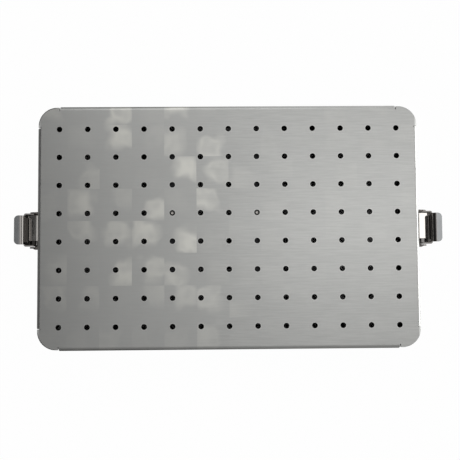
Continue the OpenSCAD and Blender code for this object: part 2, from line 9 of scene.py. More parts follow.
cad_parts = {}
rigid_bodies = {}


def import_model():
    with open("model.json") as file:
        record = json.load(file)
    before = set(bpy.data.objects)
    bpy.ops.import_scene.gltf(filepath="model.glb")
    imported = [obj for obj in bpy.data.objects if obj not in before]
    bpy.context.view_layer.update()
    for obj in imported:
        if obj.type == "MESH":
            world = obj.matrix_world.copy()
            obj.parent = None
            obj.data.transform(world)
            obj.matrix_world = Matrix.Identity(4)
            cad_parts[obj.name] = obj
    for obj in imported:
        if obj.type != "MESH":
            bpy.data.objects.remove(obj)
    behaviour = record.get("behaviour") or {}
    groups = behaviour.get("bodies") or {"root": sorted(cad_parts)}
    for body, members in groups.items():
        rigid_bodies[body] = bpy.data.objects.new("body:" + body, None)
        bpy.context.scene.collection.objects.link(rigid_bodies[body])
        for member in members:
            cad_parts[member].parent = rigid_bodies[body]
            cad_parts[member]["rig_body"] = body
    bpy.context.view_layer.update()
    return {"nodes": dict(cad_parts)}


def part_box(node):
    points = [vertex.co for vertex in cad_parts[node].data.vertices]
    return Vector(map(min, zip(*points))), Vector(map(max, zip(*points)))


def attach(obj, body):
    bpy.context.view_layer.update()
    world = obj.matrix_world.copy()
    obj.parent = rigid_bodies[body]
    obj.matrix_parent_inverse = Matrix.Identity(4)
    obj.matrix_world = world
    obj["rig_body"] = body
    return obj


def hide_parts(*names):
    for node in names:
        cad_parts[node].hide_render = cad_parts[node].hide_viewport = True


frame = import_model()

bl_info = {
    "name": "Dental instrument cassette",
    "version": (1, 0, 0),
    "blender": (4, 5, 0),
    "location": "View3D > Sidebar > Cassette",
    "description": "Finishes the cassette's lid, tray, rails, hold-down and latches around the packed frame",
    "category": "Object",
}

MM = 0.001
UP = (0.0, 0.0, 1.0)
TO_REAR = (0.0, 1.0, 0.0)
SIDES = (("left", -1.0), ("right", 1.0))
CORNERS = ("front_left", "front_right", "rear_left", "rear_right")


def ends(node):
    """The lowest and highest corners of a CAD node's box as arrays, in metres."""
    return tuple(np.array(corner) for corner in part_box(node))


def middle(node):
    """The centre of a CAD node's box, in metres."""
    low, high = ends(node)
    return (low + high) / 2


# Places that the finishes and the new pieces follow, read from the frame
TRAY_LOW, TRAY_HIGH = ends("tray_pan")
LID_HIGH = ends("lid_pan")[1]
HOLE_COLUMNS = 13
HOLE_PITCH = (middle("foot_front_right")[0] - middle("foot_front_left")[0]) / (HOLE_COLUMNS - 1)

# Sizes of the pans that their boxes don't give
SHEET = 1.2 * MM
FLOOR_TOP = TRAY_LOW[2] + SHEET
FOLD = 2.8 * MM
LID_CORNER = 11.5 * MM
LID_CORNER_INSET = 1.0 * MM
HOLE_RADIUS = 1.6 * MM

# Radii and heights of the feet, rivets and pins
HOLE_CLEARANCE = 0.03 * MM
FOOT_BUTTON_LAP = 0.8 * MM
RIVET_SHANK = 1.2 * MM
RIVET_HEAD = 2.2 * MM
RIVET_HEAD_HEIGHT = 1.0 * MM
KEEPER_RIVET_SHANK = 1.0 * MM
KEEPER_RIVET_HEAD = 1.8 * MM
LID_RIVET_SHANK = 0.8 * MM
LID_RIVET_END = 1.0 * MM
LID_RIVET_END_HEIGHT = 0.6 * MM
PIN_SHANK = 1.25 * MM
PIN_TAIL = 1.725 * MM
PIN_HEAD_HEIGHT = 0.8 * MM

# Points of a copied mesh that lie this near, in metres, become one, and so do neighbour faces
# that turn by less than this angle
SAME_POINT = 1e-6
SAME_FACE = math.radians(0.4)

# The lid's pale clouds: the side of their squares, where the squares start along X and Y, the
# draw that places the clouds, and where they fade, as (axis, from, to, strength before and after)
CLOUD_SQUARE = 20.0 * MM
CLOUD_STARTS = (0.0, 4.0 * MM)
CLOUD_DRAW = 10694.0
CLOUD_FADES = ((0, -0.03, 0.02, 1.0, 0.08), (0, -0.115, -0.08, 0.4, 1.0), (1, -0.07, -0.02, 0.5, 1.0))

# Along the lid's length: strength of its brush lines, and painted light that makes its left half
# paler, as (from, to, value before and after)
LID_LINES = (-0.035, 0.01, 0.3, 1.0)
LID_PAINTED_LIGHT = (-0.12, 0.0, 0.32, 0.0)

# Distance from the middle at which a lever's polish with painted shade ends and its satin finger tab starts
TAB_START = 129.0 * MM

# The room that the metal mirrors, over the share of a direction that points right or to the
# rear, as (from, to, brightness before and after)
DARK = 0.05
ROOM_TO_RIGHT = (-0.95, 0.33, 0.1, 1.0)
LEFT_CARD = (-0.40, -0.385, DARK, 1.0)
RIGHT_CARD = (0.56, 0.66, 1.0, DARK)
LEFT_GLOW = (-0.6, -0.5, 0.06, 0.0)
RIGHT_STRIP = (0.83, 0.88, 0.0, 3.0)
ROOM_TO_REAR = (-0.8, 0.1, 0.45, 1.0)

# Places and sizes of the lamps, in metres
RIGHT_SOFTBOX = ((0.42, 0.05, 0.95), (0.3, 0.8))
REAR_SOFTBOX = ((-0.1, 0.8, 0.8), (0.8, 0.4))

# The floor's glow: its strongest share, and how far inside the tray's sides it starts and is full
FLOOR_GLOW = 0.98
GLOW_START = 12.0 * MM
GLOW_FULL = 2.0 * MM


# Pieces cut from the frame


def place_for(piece, node):
    """Links a new piece, lets it move with the node's body and stand in the node's stead."""
    bpy.context.scene.collection.objects.link(piece)
    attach(piece, frame["nodes"][node]["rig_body"])
    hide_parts(node)
    weighted = piece.modifiers.new("flat faces stay flat", "WEIGHTED_NORMAL")
    weighted.mode = "FACE_AREA"
    weighted.weight = 100
    return piece


def eased(name, node, width, segments=2, crease=30.0):
    """A copy of a CAD node whose sharp edges are rounded, on the node's body and in its place.

    Loose triangles are merged, flat neighbours are dissolved into one face, and every edge
    that turns by more than the crease angle gets a round of the given width.
    """
    mesh = frame["nodes"][node].data.copy()
    mesh.name = name
    work = bmesh.new()
    work.from_mesh(mesh)
    bmesh.ops.remove_doubles(work, verts=work.verts, dist=SAME_POINT)
    bmesh.ops.dissolve_limit(
        work, angle_limit=SAME_FACE, use_dissolve_boundaries=False,
        verts=work.verts, edges=work.edges, delimit={"NORMAL"})
    work.to_mesh(mesh)
    work.free()
    mesh.materials.clear()
    mesh.shade_smooth()
    piece = bpy.data.objects.new(name, mesh)
    bevel = piece.modifiers.new("eased edges", "BEVEL")
    bevel.width = width
    bevel.segments = segments
    bevel.limit_method = "ANGLE"
    bevel.angle_limit = math.radians(crease)
    bevel.use_clamp_overlap = False
    return place_for(piece, node)


def finish_with(piece, material):
    """Gives a piece its material."""
    piece.data.materials.clear()
    piece.data.materials.append(material)


# Turned pieces: rivets, pins and feet


def rounded(corners, steps=5):
    """A profile of corners (radius, height, rounding) as one smooth line of points.

    Each corner c gives the curve (1 - t)^2 a + 2 t (1 - t) c + t^2 b, with t from 0 to 1, where
    a and b lie the corner's rounding away from it, towards the corner before and the corner after.
    Points that fall on the one before are left out.
    """
    corners = np.array(corners)
    corner, size = corners[:, :2], corners[:, 2:]
    way = np.diff(corner, axis=0)
    way /= np.linalg.norm(way, axis=1, keepdims=True)
    start = (corner - size * np.vstack([way[:1], way]))[:, None]
    end = (corner + size * np.vstack([way, way[-1:]]))[:, None]
    t = np.linspace(0.0, 1.0, steps)[None, :, None]
    line = ((1 - t) ** 2 * start + 2 * t * (1 - t) * corner[:, None] + t ** 2 * end).reshape(-1, 2)
    apart = np.linalg.norm(np.diff(line, axis=0), axis=1)
    return line[np.append(True, apart > 1e-7)]


def turned(name, node, corners, axis, places, segments=40):
    """Closed surfaces of revolution that stand in a node's stead, one at each place.

    Point (i, j) is place + height_i * axis + radius_i * (cos a_j * side + sin a_j * other), where
    a_j = 2 pi j / segments, and side and other stand square to the axis. The profile starts and
    ends on the axis, in two poles that close the surface.
    """
    line = rounded(corners)
    axis = np.array(axis)
    side = np.roll(axis, 1)
    angle = np.linspace(0.0, 2 * np.pi, segments, endpoint=False)[:, None]
    ring = np.cos(angle) * side + np.sin(angle) * np.cross(axis, side)
    wall = line[1:-1, :, None, None]
    shell = (wall[:, 1] * axis + wall[:, 0] * ring).reshape(-1, 3)
    points = np.vstack([shell, line[[0, -1], 1:] * axis])
    index = np.arange(len(shell)).reshape(-1, segments)
    after = np.roll(index, -1, axis=1)
    quads = np.stack([index[:-1], after[:-1], after[1:], index[1:]], axis=-1).reshape(-1, 4)
    poles = np.full((2, segments), [[len(shell)], [len(shell) + 1]])
    caps = np.vstack([np.stack([poles[0], after[0], index[0]], axis=-1),
                      np.stack([poles[1], index[-1], after[-1]], axis=-1)])
    step = np.arange(len(places))[:, None, None] * len(points)
    mesh = bpy.data.meshes.new(name)
    mesh.from_pydata(
        (np.array(places)[:, None] + points).reshape(-1, 3).tolist(), [],
        (quads + step).reshape(-1, 4).tolist() + (caps + step).reshape(-1, 3).tolist())
    mesh.shade_smooth()
    return place_for(bpy.data.objects.new(name, mesh), node)


def spots(node, radius, axis):
    """Places of a node's like rivets along an axis: its box's corners, drawn in by a head's radius.

    Corners that fall together count once.
    """
    low, high = ends(node)
    values = [[0.0] if axis[k] else sorted({round(low[k] + radius, 6), round(high[k] - radius, 6)})
              for k in range(3)]
    return np.stack(np.meshgrid(*values, indexing="ij"), axis=-1).reshape(-1, 3)


def pan_head(radius, base, top):
    """Corners of a rivet's head, from the rim of its flat side at the base up to its crown on the axis."""
    rise = top - base
    return [(radius, base, 0.1 * abs(rise)),
            (radius, base + 0.35 * rise, 0.2 * abs(rise)),
            (0.6 * radius, top, 0.28 * radius),
            (0.0, top, 0.0)]


def rivet_corners(shank, low, high):
    """Corners of a rivet with a head at both ends of its shank, from its low to its high end."""
    base, seat = low + RIVET_HEAD_HEIGHT, high - RIVET_HEAD_HEIGHT
    return (pan_head(RIVET_HEAD, base, low)[::-1] + [(shank, base, 0.0), (shank, seat, 0.0)]
            + pan_head(RIVET_HEAD, seat, high))


def keeper_rivet_corners(low, high):
    """Corners of a keeper's rivet: a plain end inside and a head outside."""
    seat = high - RIVET_HEAD_HEIGHT
    return ([(0.0, low, 0.0), (KEEPER_RIVET_SHANK, low, 0.1 * MM), (KEEPER_RIVET_SHANK, seat, 0.0)]
            + pan_head(KEEPER_RIVET_HEAD, seat, high))


def lid_rivet_corners(low, high):
    """Corners of a rivet that shows in a hole of the lid: a head below and a dimpled end on top."""
    base, seat = low + RIVET_HEAD_HEIGHT, high - LID_RIVET_END_HEIGHT
    dimple = seat + 0.1 * MM
    return pan_head(RIVET_HEAD, base, low)[::-1] + [
        (LID_RIVET_SHANK, base, 0.0), (LID_RIVET_SHANK, seat, 0.0), (LID_RIVET_END, seat, 0.0),
        (LID_RIVET_END, high, 0.25 * MM), (0.55 * LID_RIVET_END, high, 0.15 * MM),
        (0.35 * LID_RIVET_END, dimple, 0.1 * MM), (0.0, dimple, 0.0)]


def pin_corners(head, low, high):
    """Corners of a pivot pin: its head is at the front and its riveted tail at the rear."""
    base, seat = low + PIN_HEAD_HEIGHT, high - PIN_HEAD_HEIGHT / 2
    return (pan_head(head, base, low)[::-1] + [(PIN_SHANK, base, 0.0), (PIN_SHANK, seat, 0.0)]
            + pan_head(PIN_TAIL, seat, high))


def foot_corners(pad, high):
    """Corners of a foot: a hollowed pad, a neck through the tray's hole and a button above its floor."""
    hollow, button_rim = 0.35 * MM, FLOOR_TOP + 0.35 * MM
    neck, button = HOLE_RADIUS - HOLE_CLEARANCE, HOLE_RADIUS + FOOT_BUTTON_LAP
    return [
        (0.0, hollow, 0.0), (0.5 * pad, hollow, 0.4 * MM), (0.62 * pad, 0.0, 0.3 * MM),
        (pad, 0.0, 0.5 * MM), (pad, TRAY_LOW[2], 0.4 * MM), (neck, TRAY_LOW[2], 0.0),
        (neck, FLOOR_TOP, 0.0), (button, FLOOR_TOP, 0.1 * MM), (button, button_rim, 0.2 * MM),
        (0.5 * button, high, 0.6 * MM), (0.0, high, 0.0)]


# Node helpers for the materials


def fill(tree, node, inputs):
    """Fills a node's sockets with values or links."""
    for key, value in inputs.items():
        socket = node.inputs[key]
        if isinstance(value, bpy.types.NodeSocket):
            tree.links.new(value, socket)
        else:
            socket.default_value = value


def add(tree, kind, inputs=None, **settings):
    """Adds a node, sets its properties and fills its sockets."""
    made = tree.nodes.new(kind)
    for key, value in settings.items():
        setattr(made, key, value)
    fill(tree, made, inputs or {})
    return made


def math_of(tree, operation, a, b=0.0, clamp=False):
    """The outcome of a named operation on one or two numbers."""
    return add(tree, "ShaderNodeMath", {0: a, 1: b}, operation=operation, use_clamp=clamp).outputs[0]


def times(tree, first, *others):
    """The numbers multiplied, from left to right."""
    for other in others:
        first = math_of(tree, "MULTIPLY", first, other)
    return first


def plus(tree, first, *others):
    """The numbers added, from left to right."""
    for other in others:
        first = math_of(tree, "ADD", first, other)
    return first


def place_in(tree):
    """The three Object coordinates of a point, in metres."""
    coordinates = add(tree, "ShaderNodeTexCoord").outputs["Object"]
    return add(tree, "ShaderNodeSeparateXYZ", {0: coordinates}).outputs


def off_middle(tree, axis):
    """How far a point lies from the object's middle along an axis, on either side, in metres."""
    return math_of(tree, "ABSOLUTE", place_in(tree)[axis])


def stretched(tree, scale, turn=(0.0, 0.0, 0.0)):
    """Object coordinates in metres, scaled along each axis and turned."""
    coordinates = add(tree, "ShaderNodeTexCoord").outputs["Object"]
    inputs = {"Vector": coordinates, "Scale": scale, "Rotation": turn}
    return add(tree, "ShaderNodeMapping", inputs).outputs[0]


def noise(tree, scale, frequency=1.0, turn=(0.0, 0.0, 0.0), detail=3.0, rough=0.55, seed=0.0):
    """Soft noise over coordinates that are scaled along each axis; a seed gives another one."""
    return add(tree, "ShaderNodeTexNoise",
               {"Vector": stretched(tree, scale, turn), "W": seed, "Scale": frequency,
                "Detail": detail, "Roughness": rough},
               noise_dimensions="4D").outputs["Fac"]


def levels(tree, value, low, high, to_low=0.0, to_high=1.0):
    """Maps low..high smoothly to to_low..to_high."""
    return add(tree, "ShaderNodeMapRange",
               {"Value": value, "From Min": low, "From Max": high, "To Min": to_low, "To Max": to_high},
               interpolation_type="SMOOTHSTEP").outputs[0]


def swing(tree, value, to_low, to_high):
    """Maps the range that most of a noise lies in to to_low..to_high."""
    return levels(tree, value, 0.3, 0.7, to_low, to_high)


def blended(tree, share, a, b):
    """A number that goes from a to b as the share goes from 0 to 1."""
    return add(tree, "ShaderNodeMix", {0: share, 2: a, 3: b}, data_type="FLOAT").outputs[0]


def mixed(tree, share, a, b):
    """A colour that goes from a to b as the share goes from 0 to 1."""
    inputs = {0: share, "A": a, "B": b}
    return add(tree, "ShaderNodeMix", inputs, data_type="RGBA").outputs["Result"]


def rgba(colour, factor=1.0):
    """A colour made darker or paler by a factor, with full alpha."""
    return (colour[0] * factor, colour[1] * factor, colour[2] * factor, 1.0)


def grey(value):
    """A grey with full alpha."""
    return (value, value, value, 1.0)


def blank_material(name):
    """A new material, its node tree and its shader."""
    material = bpy.data.materials.new(name)
    material.use_nodes = True
    tree = material.node_tree
    tree.nodes.clear()
    shader = add(tree, "ShaderNodeBsdfPrincipled")
    add(tree, "ShaderNodeOutputMaterial", {"Surface": shader.outputs[0]})
    return material, tree, shader


def bumps(tree, height, strength, depth):
    """A normal that follows a height; its full swing is the depth, in metres."""
    inputs = {"Height": height, "Strength": strength, "Distance": depth}
    return add(tree, "ShaderNodeBump", inputs).outputs[0]


def paint_shade_over(tree, shader, share, colour):
    """Lays a colour over a finish by a share; here that colour is painted shade."""
    socket = shader.inputs["Base Color"]
    tree.links.new(mixed(tree, share, socket.links[0].from_socket, colour), socket)


# Finishes


def lines_on_sheet(tree, across, along, seed):
    """Brush lines along X on every face that holds X, and along Y on the faces across it.

    The noise changes this many times a metre across the lines and along them.
    """
    on_length = noise(tree, (along, across, across), rough=0.7, seed=seed)
    on_ends = noise(tree, (across, along, across), rough=0.7, seed=seed + 3.0)
    normal = add(tree, "ShaderNodeTexCoord").outputs["Normal"]
    facing = math_of(tree, "ABSOLUTE", add(tree, "ShaderNodeSeparateXYZ", {0: normal}).outputs[0])
    return blended(tree, levels(tree, facing, 0.6, 0.8), on_length, on_ends)


def from_nearest_hole(tree):
    """Distance from the middle of the nearest steam hole of the grid, in metres.

    There is a column of holes at the object's middle, and a row half a pitch to either side of it.
    """
    place = place_in(tree)
    half = HOLE_PITCH / 2
    squares = []
    for axis, shift in ((0, 0.0), (1, half)):
        moved = plus(tree, place[axis], shift)
        wrap = add(tree, "ShaderNodeMath", {0: moved, 1: half, 2: -half}, operation="WRAP").outputs[0]
        squares.append(times(tree, wrap, wrap))
    return math_of(tree, "SQRT", plus(tree, *squares))


def on_top(tree):
    """Full on the lid's top face and nothing below its folds."""
    return levels(tree, place_in(tree)[2], LID_HIGH[2] - 0.8 * FOLD, LID_HIGH[2] - 0.1 * FOLD)


def pale_clouds(tree):
    """Soft pale patches: one in each square of the sheet, cut off straight at the square's border.

    A square draws its patch's middle and strength; many draw next to nothing. A noise makes the
    patches ragged and uneven, and they fade to the right, the left end and the front.
    """
    place = place_in(tree)
    within, square = [], []
    for axis, start in enumerate(CLOUD_STARTS):
        scaled = math_of(tree, "DIVIDE", math_of(tree, "SUBTRACT", place[axis], start), CLOUD_SQUARE)
        square.append(math_of(tree, "FLOOR", scaled))
        within.append(math_of(tree, "FRACT", scaled))
    cell = add(tree, "ShaderNodeCombineXYZ", {0: square[0], 1: square[1], 2: CLOUD_DRAW}).outputs[0]
    drawn = add(tree, "ShaderNodeTexWhiteNoise", {"Vector": cell}, noise_dimensions="3D").outputs
    draws = add(tree, "ShaderNodeSeparateColor", {0: drawn["Color"]}).outputs
    blob = noise(tree, (1.0, 1.0, 0.0), 90.0, detail=1.0, seed=1.0)
    ragged = swing(tree, blob, -0.12, 0.12)
    patch = times(tree, levels(tree, drawn["Value"], 0.1, 0.85, 0.05, 1.0),
                  levels(tree, blob, 0.3, 0.6, 0.45, 1.0))
    for axis in (0, 1):
        middle_of_patch = levels(tree, draws[axis + 1], 0.0, 1.0, 0.2, 0.8)
        apart = math_of(tree, "ABSOLUTE", math_of(tree, "SUBTRACT", within[axis], middle_of_patch))
        patch = times(tree, patch, levels(tree, plus(tree, apart, ragged), 0.2, 0.52, 1.0, 0.0))
    fades = [levels(tree, place[axis], *fade) for axis, *fade in CLOUD_FADES]
    return times(tree, patch, *fades, on_top(tree))


def lid_edges(tree):
    """Shares of the painted highlight on the folds along the short sides and of the painted shade along the
    edge of the round corners.

    A corner's shaded edge is the rim of a circle about the corner's centre, strong on the left and faint
    on the right.
    """
    place = place_in(tree)
    out = [off_middle(tree, axis) for axis in (0, 1)]
    painted_fold_highlight = times(tree, levels(tree, out[0], LID_HIGH[0] - 0.9 * FOLD, LID_HIGH[0] - 0.5 * FOLD),
                 levels(tree, place[2], LID_HIGH[2] - 1.6 * FOLD, LID_HIGH[2] - 0.8 * FOLD))
    centre = LID_HIGH - LID_CORNER_INSET - LID_CORNER
    past = [math_of(tree, "SUBTRACT", out[axis], centre[axis]) for axis in (0, 1)]
    far = math_of(tree, "SQRT", plus(tree, *(times(tree, way, way) for way in past)))
    corner = levels(tree, math_of(tree, "MINIMUM", *past), 0.0, 1.0 * MM)
    rim = levels(tree, far, LID_CORNER - 0.7 * MM, LID_CORNER - 0.3 * MM)
    return painted_fold_highlight, times(tree, corner, rim, levels(tree, place[0], -0.05, 0.05, 0.85, 0.1))


def brushed_aluminium(name, colour, grain, clouds):
    """Anodised sheet: brush lines, a painted highlight round each hole and painted shade on the walls of the
    holes.

    A sheet with clouds is the lid: its left half is paler from painted light, with fainter lines and pale
    patches, its short folds get a painted highlight and its round corners painted shade along their edge.
    """
    material, tree, shader = blank_material(name)
    fine = lines_on_sheet(tree, across=2600.0, along=40.0, seed=0.0)
    coarse = lines_on_sheet(tree, across=1000.0, along=60.0, seed=7.0)
    broad = noise(tree, (9.0, 60.0, 60.0), seed=1.0)
    lines = times(tree, plus(tree, swing(tree, fine, -0.1, 0.1), swing(tree, coarse, -0.09, 0.09)), grain)
    if clouds:
        x = place_in(tree)[0]
        lines = times(tree, lines, levels(tree, x, *LID_LINES))
        # Painted light: the lid's left half is made paler
        lines = plus(tree, lines, levels(tree, x, *LID_PAINTED_LIGHT))
    shade = plus(tree, lines, swing(tree, broad, 0.475, 0.525))
    base = mixed(tree, shade, rgba(colour, 0.72), rgba(colour, 1.28))
    if clouds:
        warm = (1.02 * colour[0], colour[1], 0.94 * colour[2])
        base = mixed(tree, times(tree, pale_clouds(tree), clouds), base, rgba(warm, 2.0))
        # Painted highlight on the short folds and painted shade along the edge of the round corners
        painted_fold_highlight, painted_corner_shade = lid_edges(tree)
        base = mixed(tree, times(tree, painted_fold_highlight, 0.9), base, rgba(colour, 2.0))
        base = mixed(tree, painted_corner_shade, base, rgba(colour, 0.12))
    distance = from_nearest_hole(tree)
    # Painted highlight: a bright ring round each hole
    painted_hole_highlight = levels(tree, distance, HOLE_RADIUS + 0.25 * MM, HOLE_RADIUS + 0.7 * MM, 0.35, 0.0)
    base = mixed(tree, painted_hole_highlight, base, rgba(colour, 1.7))
    # Painted shade: the walls of the holes, and a thin ring round each, are darkened
    wall = levels(tree, distance, HOLE_RADIUS + 0.12 * MM, HOLE_RADIUS + 0.24 * MM, 0.95, 0.0)
    fill(tree, shader, {
        "Base Color": mixed(tree, wall, base, rgba(colour, 0.04)),
        "Metallic": 1.0,
        "Roughness": levels(tree, fine, 0.25, 0.75, 0.36, 0.46),
        "Normal": bumps(tree, fine, 0.35, 0.03 * MM)})
    return material


def steel_nodes(name, colour, rough, scratch):
    """Rolled steel as a material, its node tree and its shader, for finishes that go on from it."""
    material, tree, shader = blank_material(name)
    lines = noise(tree, (2200.0, 60.0, 2200.0), rough=0.6)
    smudge = noise(tree, (160.0, 160.0, 160.0), detail=4.0, seed=5.0)
    scratches = noise(tree, (500.0, 5200.0, 5200.0), turn=(0.2, 0.1, 0.6), detail=2.0, seed=8.0)
    tone = plus(tree, swing(tree, lines, 0.45, 0.55), swing(tree, smudge, -0.08, 0.08))
    worn = times(tree, levels(tree, scratches, 0.6, 0.72), scratch)
    fill(tree, shader, {
        "Base Color": mixed(tree, tone, rgba(colour, 0.8), rgba(colour, 1.2)),
        "Metallic": 1.0,
        "Roughness": plus(tree, levels(tree, smudge, 0.3, 0.75, *rough), worn),
        "Normal": bumps(tree, lines, 0.2, 0.02 * MM)})
    return material, tree, shader


def rolled_steel(name, colour, rough, scratch=0.06):
    """Stainless sheet: a near mirror with faint rolling lines, handling scratches and soft smudges.

    Its roughness runs between two values, and the scratches add to it.
    """
    return steel_nodes(name, colour, rough, scratch)[0]


def satin_lever(name, satin, polished):
    """The levers' steel: satin on the finger tab; polished, with a dark colour painted as shade, on the
    bend, the web and the tongue.
    """
    material, tree, shader = steel_nodes(name, satin, (0.42, 0.5), 0.06)
    base, rough = shader.inputs["Base Color"], shader.inputs["Roughness"]
    satin_base, satin_rough = base.links[0].from_socket, rough.links[0].from_socket
    on_tab = levels(tree, off_middle(tree, 0), TAB_START, TAB_START + 1.0 * MM)
    # Painted shade: behind the tab the lever takes a dark colour for its shade and dark reflections
    painted_shade_base = mixed(tree, 0.15, rgba(polished), satin_base)
    tree.links.new(mixed(tree, on_tab, painted_shade_base, satin_base), base)
    tree.links.new(blended(tree, on_tab, 0.14, satin_rough), rough)
    return material


def polished_keeper(name, colour):
    """The keepers' mirror of polished steel, with painted shade in the crease beside the lid's skirt."""
    material, tree, shader = steel_nodes(name, colour, (0.06, 0.12), 0.08)
    # Painted shade in the crease beside the lid's skirt
    painted_shade = levels(tree, off_middle(tree, 0), LID_HIGH[0] + 0.7 * MM, LID_HIGH[0] + 1.5 * MM, 0.9, 0.0)
    paint_shade_over(tree, shader, painted_shade, rgba(colour, 0.1))
    return material


def rivet_end_steel(name, colour):
    """The lid rivets' steel: bright on the end that shows in the hole, with a ring of painted shade round
    it.
    """
    material, tree, shader = steel_nodes(name, colour, (0.2, 0.3), 0.06)
    # Painted shade in a ring round the rivet's end
    painted_shade = levels(tree, from_nearest_hole(tree), 0.6 * MM, 0.85 * MM, 0.0, 0.95)
    paint_shade_over(tree, shader, painted_shade, rgba(colour, 0.05))
    return material


def moulded_silicone(name, colour):
    """Matt silicone: a fine moulded skin, cloudy dust and a soft sheen."""
    material, tree, shader = blank_material(name)
    skin = noise(tree, (1.0, 1.0, 1.0), 2400.0)
    dust = noise(tree, (1.0, 1.0, 1.0), 90.0, detail=4.0, seed=2.0)
    tone = plus(tree, swing(tree, skin, 0.4, 0.6), swing(tree, dust, -0.18, 0.18))
    fill(tree, shader, {
        "Base Color": mixed(tree, tone, rgba(colour, 0.82), rgba(colour, 1.22)),
        "Roughness": swing(tree, dust, 0.5, 0.68),
        "Sheen Weight": 0.1,
        "Specular IOR Level": 0.2,
        "Normal": bumps(tree, skin, 0.25, 0.04 * MM)})
    return material


# Values that a user would change


class CassetteFinish(bpy.types.PropertyGroup):
    lid_colour: bpy.props.FloatVectorProperty(
        name="Lid", description="Colour of the lid's anodised sheet", subtype="COLOR", size=3,
        min=0.0, max=1.0, default=(0.45, 0.452, 0.44))
    tray_colour: bpy.props.FloatVectorProperty(
        name="Tray", description="Colour of the tray's anodised sheet", subtype="COLOR", size=3,
        min=0.0, max=1.0, default=(0.45, 0.45, 0.45))
    steel_colour: bpy.props.FloatVectorProperty(
        name="Steel", description="Colour of the channels and the hold-down's sheet",
        subtype="COLOR", size=3, min=0.0, max=1.0, default=(0.50, 0.49, 0.48))
    lever_colour: bpy.props.FloatVectorProperty(
        name="Levers", description="Colour of the latches' finger tabs", subtype="COLOR", size=3,
        min=0.0, max=1.0, default=(0.385, 0.395, 0.40))
    # Painted shade: a dark brown that stands in for the shade and dark reflections on the polished brackets
    # and levers
    polish_and_shade_colour: bpy.props.FloatVectorProperty(
        name="Polished steel", description="Colour of the brackets and of the levers behind their tabs",
        subtype="COLOR", size=3, min=0.0, max=1.0, default=(0.15, 0.137, 0.127))
    fastener_colour: bpy.props.FloatVectorProperty(
        name="Fasteners", description="Colour of the latches' pins and rivets",
        subtype="COLOR", size=3, min=0.0, max=1.0, default=(0.22, 0.215, 0.21))
    keeper_colour: bpy.props.FloatVectorProperty(
        name="Keeper", description="Colour of the polished keepers and the lid's rivets",
        subtype="COLOR", size=3, min=0.0, max=1.0, default=(0.62, 0.595, 0.57))
    insert_colour: bpy.props.FloatVectorProperty(
        name="Silicone inserts", description="Colour of the rails' combs and the hold-down's strips",
        subtype="COLOR", size=3, min=0.0, max=1.0, default=(0.022, 0.023, 0.025))
    foot_colour: bpy.props.FloatVectorProperty(
        name="Feet", description="Colour of the silicone feet", subtype="COLOR", size=3,
        min=0.0, max=1.0, default=(0.20, 0.21, 0.22))
    grain: bpy.props.FloatProperty(
        name="Grain", description="Strength of the brush lines", subtype="FACTOR",
        min=0.0, max=2.0, default=1.0)
    clouds: bpy.props.FloatProperty(
        name="Clouds", description="Strength of the pale clouds on the lid; 0 gives a plain sheet",
        subtype="FACTOR", min=0.0, max=1.0, default=0.52)
    sheet_edge: bpy.props.FloatProperty(
        name="Sheet edge", description="Round on the cut edges of the pans, channels and hold-down",
        unit="LENGTH", min=0.00002, max=0.0004, default=0.00015)
    latch_edge: bpy.props.FloatProperty(
        name="Latch edge", description="Round on the cut edges of the latch parts", unit="LENGTH",
        min=0.00002, max=0.0003, default=0.0001)
    comb_edge: bpy.props.FloatProperty(
        name="Comb edge", description="Round on the edges of the rails' combs", unit="LENGTH",
        min=0.00005, max=0.0008, default=0.0004)
    strip_edge: bpy.props.FloatProperty(
        name="Strip edge", description="Round on the edges of the hold-down's slit strips", unit="LENGTH",
        min=0.00005, max=0.0003, default=0.00015)


class CassetteStage(bpy.types.PropertyGroup):
    floor_size: bpy.props.FloatProperty(
        name="Floor", description="Width of the pale floor", unit="LENGTH", min=1.0, max=10.0, default=4.0)
    lens: bpy.props.FloatProperty(
        name="Lens", description="Focal length of the camera", subtype="DISTANCE_CAMERA",
        min=20.0, max=80.0, default=33.34)
    camera_place: bpy.props.FloatVectorProperty(
        name="Camera", description="Place of the camera", subtype="TRANSLATION", unit="LENGTH", size=3,
        default=(-0.0015, -0.0112, 0.2937))
    camera_tilt: bpy.props.FloatVectorProperty(
        name="Tilt", description="Rotation vector that turns the camera from straight down",
        subtype="EULER", unit="ROTATION", size=3,
        default=tuple(math.radians(-v) for v in (-1.98, 0.46, 0.41)))
    right_power: bpy.props.FloatProperty(
        name="Right lamp", description="Power of the softbox on the right", subtype="POWER",
        min=0.0, max=50.0, default=0.6)
    rear_power: bpy.props.FloatProperty(
        name="Rear lamp", description="Power of the softbox behind", subtype="POWER",
        min=0.0, max=50.0, default=1.0)


def finish():
    """The finish values of the scene."""
    return bpy.context.scene.cassette_finish


# Operators, one for each group of pieces


class CASSETTE_OT_lid(bpy.types.Operator):
    """Finishes the perforated lid"""
    bl_idname = "cassette.lid"
    bl_label = "Lid"

    def execute(self, context):
        material = brushed_aluminium("brushed_lid", finish().lid_colour, finish().grain, finish().clouds)
        finish_with(eased("lid_sheet", "lid_pan", finish().sheet_edge), material)
        return {"FINISHED"}


class CASSETTE_OT_tray(bpy.types.Operator):
    """Finishes the perforated tray"""
    bl_idname = "cassette.tray"
    bl_label = "Tray"

    def execute(self, context):
        material = brushed_aluminium("brushed_tray", finish().tray_colour, finish().grain, 0.0)
        finish_with(eased("tray_sheet", "tray_pan", finish().sheet_edge), material)
        return {"FINISHED"}


class CASSETTE_OT_feet(bpy.types.Operator):
    """Makes the four moulded feet"""
    bl_idname = "cassette.feet"
    bl_label = "Feet"

    def execute(self, context):
        rubber = moulded_silicone("foot_silicone", finish().foot_colour)
        low, high = ends("foot_front_left")
        corners = foot_corners((high[0] - low[0]) / 2, high[2])
        for corner in CORNERS:
            node = "foot_" + corner
            place = middle(node) * (1.0, 1.0, 0.0)
            finish_with(turned("pad_" + corner, node, corners, UP, [place], 56), rubber)
        return {"FINISHED"}


